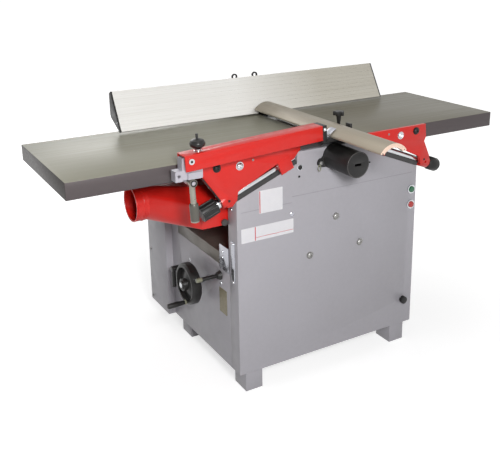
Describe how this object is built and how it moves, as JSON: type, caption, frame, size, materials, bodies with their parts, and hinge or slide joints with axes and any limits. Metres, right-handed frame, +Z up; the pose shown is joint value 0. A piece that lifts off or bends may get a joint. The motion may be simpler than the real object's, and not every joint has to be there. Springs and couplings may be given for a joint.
{
  "type": "combination planer thicknesser",
  "caption": "Woodworking planer thicknesser: steel body, tilt-up cast tables on inclined ways, leaning fence, bridge guard, chip hood and a thicknessing table raised by handwheel.",
  "frame": {"origin": "on the floor, under the middle of the overall length and depth", "axes": "+X along the tables towards the infeed end, +Y away from the operator, +Z up"},
  "size_m": [1.64, 1.095, 0.99],
  "materials": {
    "grey_paint": "semi-gloss grey paint",
    "red_paint": "gloss red paint",
    "black_paint": "satin black paint",
    "cast_bed": "ground flat, fine lengthwise marks",
    "cast_part": "machined grey iron",
    "steel": "turned and bright",
    "alloy": "drawn and anodised",
    "guard_alloy": "drawn and anodised",
    "black_plastic": "fine moulded grain",
    "green_plastic": "gloss",
    "red_plastic": "gloss",
    "belt_rubber": "matt"
  },
  "bodies": {
    "base": {"front_frame": "grey_paint", "rear_frame": "grey_paint", "end_panels": "grey_paint", "bottom_tray": "grey_paint", "feet": "grey_paint", "rear_cabinet": "grey_paint", "cutter_bearings": "steel", "motor": "black_paint", "drive_belt": "belt_rubber", "hinge_pins": "steel", "column_sleeve": "cast_part", "lift_gearbox": "cast_part", "finger_shaft": "steel", "chuck_guard": "black_plastic", "switch_bezels": "steel", "cable_gland": "black_plastic", "feed_bush": "black_plastic"},
    "cutter": {"cutterblock": "steel", "knives": "steel", "cutter_pulley": "cast_part"},
    "motor_rotor": {"motor_rotor": "cast_part"},
    "infeed_roller": {"infeed_roller": "steel"},
    "outfeed_roller": {"outfeed_roller": "steel"},
    "kickback_fingers": {"kickback_fingers": "cast_part"},
    "bed": {"thickness_table": "cast_bed", "bed_column": "steel", "lift_screw": "steel"},
    "bevel_nut": {"bevel_nut": "cast_part"},
    "handwheel": {"handwheel": "black_plastic", "wheel_shaft": "steel"},
    "crank_grip": {"crank_grip": "black_plastic"},
    "lock_lever": {"lock_lever": "black_plastic"},
    "feed_rod": {"feed_rod": "black_plastic"},
    "dust_hood": {"dust_hood": "red_paint"},
    "outfeed_cradle": {"outfeed_cradle": "black_paint", "outfeed_rods": "steel"},
    "outfeed_table": {"outfeed_table": "cast_bed", "outfeed_brackets": "red_paint", "fence_saddle": "cast_part", "guard_base": "steel"},
    "outfeed_knob": {"outfeed_knob": "black_plastic"},
    "infeed_cradle": {"infeed_cradle": "black_paint", "infeed_rods": "steel"},
    "infeed_table": {"infeed_table": "cast_bed", "infeed_brackets": "red_paint"},
    "infeed_handle": {"infeed_handle": "black_plastic"},
    "fence_carriage": {"fence_bar": "black_paint"},
    "fence": {"fence_profile": "alloy", "fence_end_caps": "black_plastic"},
    "slide_lever": {"slide_lever": "black_plastic"},
    "tilt_lever": {"tilt_lever": "black_plastic"},
    "guard_arm": {"guard_arm": "red_paint", "cross_bolt": "steel", "guard_carriage": "black_plastic"},
    "bridge_guard": {"bridge_guard": "guard_alloy"},
    "height_knob": {"height_knob": "black_plastic"},
    "star_knob": {"star_knob": "black_plastic"},
    "clamp_lever": {"clamp_lever": "cast_part"},
    "start_button": {"start_button": "green_plastic"},
    "stop_button": {"stop_button": "red_plastic"}
  },
  "joints": [
    {"name": "outfeed_flip", "type": "hinge", "parent": "base", "child": "outfeed_cradle", "pos_m": [-0.215, 0.3025, 0.825], "axis": [-1, 0, 0], "range_deg": [0, 90]},
    {"name": "infeed_flip", "type": "hinge", "parent": "base", "child": "infeed_cradle", "pos_m": [0.385, 0.3025, 0.825], "axis": [-1, 0, 0], "range_deg": [0, 90]},
    {"name": "outfeed_knob_turn", "type": "hinge", "parent": "outfeed_table", "child": "outfeed_knob", "pos_m": [-0.34756, -0.2305, 0.69545], "axis": [-0.9304, 0, -0.3665], "range_deg": [0, 1080]},
    {"name": "outfeed_slide", "type": "slide", "parent": "outfeed_cradle", "child": "outfeed_table", "axis": [-0.9304, 0, -0.3665], "range_m": [0, 0.006]},
    {"name": "infeed_handle_turn", "type": "hinge", "parent": "infeed_table", "child": "infeed_handle", "pos_m": [0.51755, -0.2305, 0.69545], "axis": [0.9304, 0, -0.3665], "range_deg": [0, 1980]},
    {"name": "infeed_slide", "type": "slide", "parent": "infeed_cradle", "child": "infeed_table", "axis": [0.9304, 0, -0.3665], "range_m": [0, 0.011]},
    {"name": "fence_slide", "type": "slide", "parent": "outfeed_table", "child": "fence_carriage", "axis": [0, -1, 0], "range_m": [0, 0.25]},
    {"name": "fence_tilt", "type": "hinge", "parent": "fence_carriage", "child": "fence", "pos_m": [0.0755, 0.2095, 0.8585], "axis": [-1, 0, 0], "range_deg": [-30, 15]},
    {"name": "slide_lever_turn", "type": "hinge", "parent": "outfeed_table", "child": "slide_lever", "pos_m": [0.0305, 0.3455, 0.872], "axis": [-1, 0, 0], "range_deg": [0, 50]},
    {"name": "tilt_lever_turn", "type": "hinge", "parent": "outfeed_table", "child": "tilt_lever", "pos_m": [0.1205, 0.3455, 0.872], "axis": [-1, 0, 0], "range_deg": [0, 50]},
    {"name": "guard_tilt", "type": "hinge", "parent": "outfeed_table", "child": "guard_arm", "pos_m": [-0.4695, -0.2855, 0.873], "axis": [0, -1, 0], "range_deg": [0, 8]},
    {"name": "guard_slide", "type": "slide", "parent": "guard_arm", "child": "bridge_guard", "axis": [0, -1, 0], "range_m": [0, 0.25]},
    {"name": "height_knob_turn", "type": "hinge", "parent": "guard_arm", "child": "height_knob", "pos_m": [-0.43306, -0.2855, 0.87504], "axis": [-0.0558, 0, 0.9984], "range_deg": [0, 920]},
    {"name": "star_knob_turn", "type": "hinge", "parent": "guard_arm", "child": "star_knob", "pos_m": [0.147, -0.1845, 0.89], "axis": [0, 0, 1], "continuous": true},
    {"name": "clamp_lever_turn", "type": "hinge", "parent": "outfeed_table", "child": "clamp_lever", "pos_m": [-0.46, -0.2895, 0.802], "axis": [0, 1, 0], "range_deg": [-40, 40]},
    {"name": "cutter_spin", "type": "hinge", "parent": "base", "child": "cutter", "pos_m": [0.085, 0.0225, 0.79], "axis": [0, 1, 0], "continuous": true},
    {"name": "motor_spin", "type": "hinge", "parent": "base", "child": "motor_rotor", "pos_m": [0.3, 0.1975, 0.25], "axis": [0, 1, 0], "continuous": true},
    {"name": "infeed_roller_spin", "type": "hinge", "parent": "base", "child": "infeed_roller", "pos_m": [0.167, 0.0225, 0.756], "axis": [0, 1, 0], "continuous": true},
    {"name": "outfeed_roller_spin", "type": "hinge", "parent": "base", "child": "outfeed_roller", "pos_m": [0.003, 0.0225, 0.756], "axis": [0, 1, 0], "continuous": true},
    {"name": "fingers_swing", "type": "hinge", "parent": "base", "child": "kickback_fingers", "pos_m": [0.215, 0.0225, 0.775], "axis": [0, -1, 0], "range_deg": [0, 40]},
    {"name": "handwheel_turn", "type": "hinge", "parent": "base", "child": "handwheel", "pos_m": [-0.349, 0.0195, 0.325], "axis": [-1, 0, 0], "range_deg": [0, 9900]},
    {"name": "bevel_nut_turn", "type": "hinge", "parent": "base", "child": "bevel_nut", "pos_m": [-0.055, 0.0195, 0.301], "axis": [0, 0, 1], "range_deg": [0, 9900]},
    {"name": "bed_lift", "type": "slide", "parent": "base", "child": "bed", "axis": [0, 0, 1], "range_m": [0, 0.11]},
    {"name": "crank_grip_spin", "type": "hinge", "parent": "handwheel", "child": "crank_grip", "pos_m": [-0.399, 0.01045, 0.26063], "axis": [-1, 0, 0], "continuous": true},
    {"name": "lock_lever_turn", "type": "hinge", "parent": "base", "child": "lock_lever", "pos_m": [-0.31, 0.1975, 0.308], "axis": [-1, 0, 0], "range_deg": [-40, 40]},
    {"name": "feed_rod_pull", "type": "slide", "parent": "base", "child": "feed_rod", "axis": [-1, 0, 0], "range_m": [0, 0.025]},
    {"name": "hood_swing", "type": "hinge", "parent": "base", "child": "dust_hood", "pos_m": [0.185, 0.0225, 0.711], "axis": [0, 1, 0], "range_deg": [0, 5]},
    {"name": "start_press", "type": "slide", "parent": "base", "child": "start_button", "axis": [0, 1, 0], "range_m": [0, 0.004], "stiffness_N_per_m": 350},
    {"name": "stop_press", "type": "slide", "parent": "base", "child": "stop_button", "axis": [0, 1, 0], "range_m": [0, 0.004], "stiffness_N_per_m": 350}
  ],
  "couplings": [
    {"joint": "infeed_flip", "follows": "outfeed_flip", "ratio": 1},
    {"joint": "outfeed_knob_turn", "follows": "outfeed_slide", "rad_per_m": 3141.5},
    {"joint": "infeed_handle_turn", "follows": "infeed_slide", "rad_per_m": 3141.5},
    {"joint": "guard_slide", "follows": "fence_slide", "ratio": 1},
    {"joint": "height_knob_turn", "follows": "guard_tilt", "ratio": 115},
    {"joint": "motor_spin", "follows": "cutter_spin", "ratio": 0.69697},
    {"joint": "outfeed_roller_spin", "follows": "infeed_roller_spin", "ratio": 1},
    {"joint": "bevel_nut_turn", "follows": "bed_lift", "rad_per_m": 1570.7},
    {"joint": "handwheel_turn", "follows": "bed_lift", "rad_per_m": 1570.7}
  ]
}
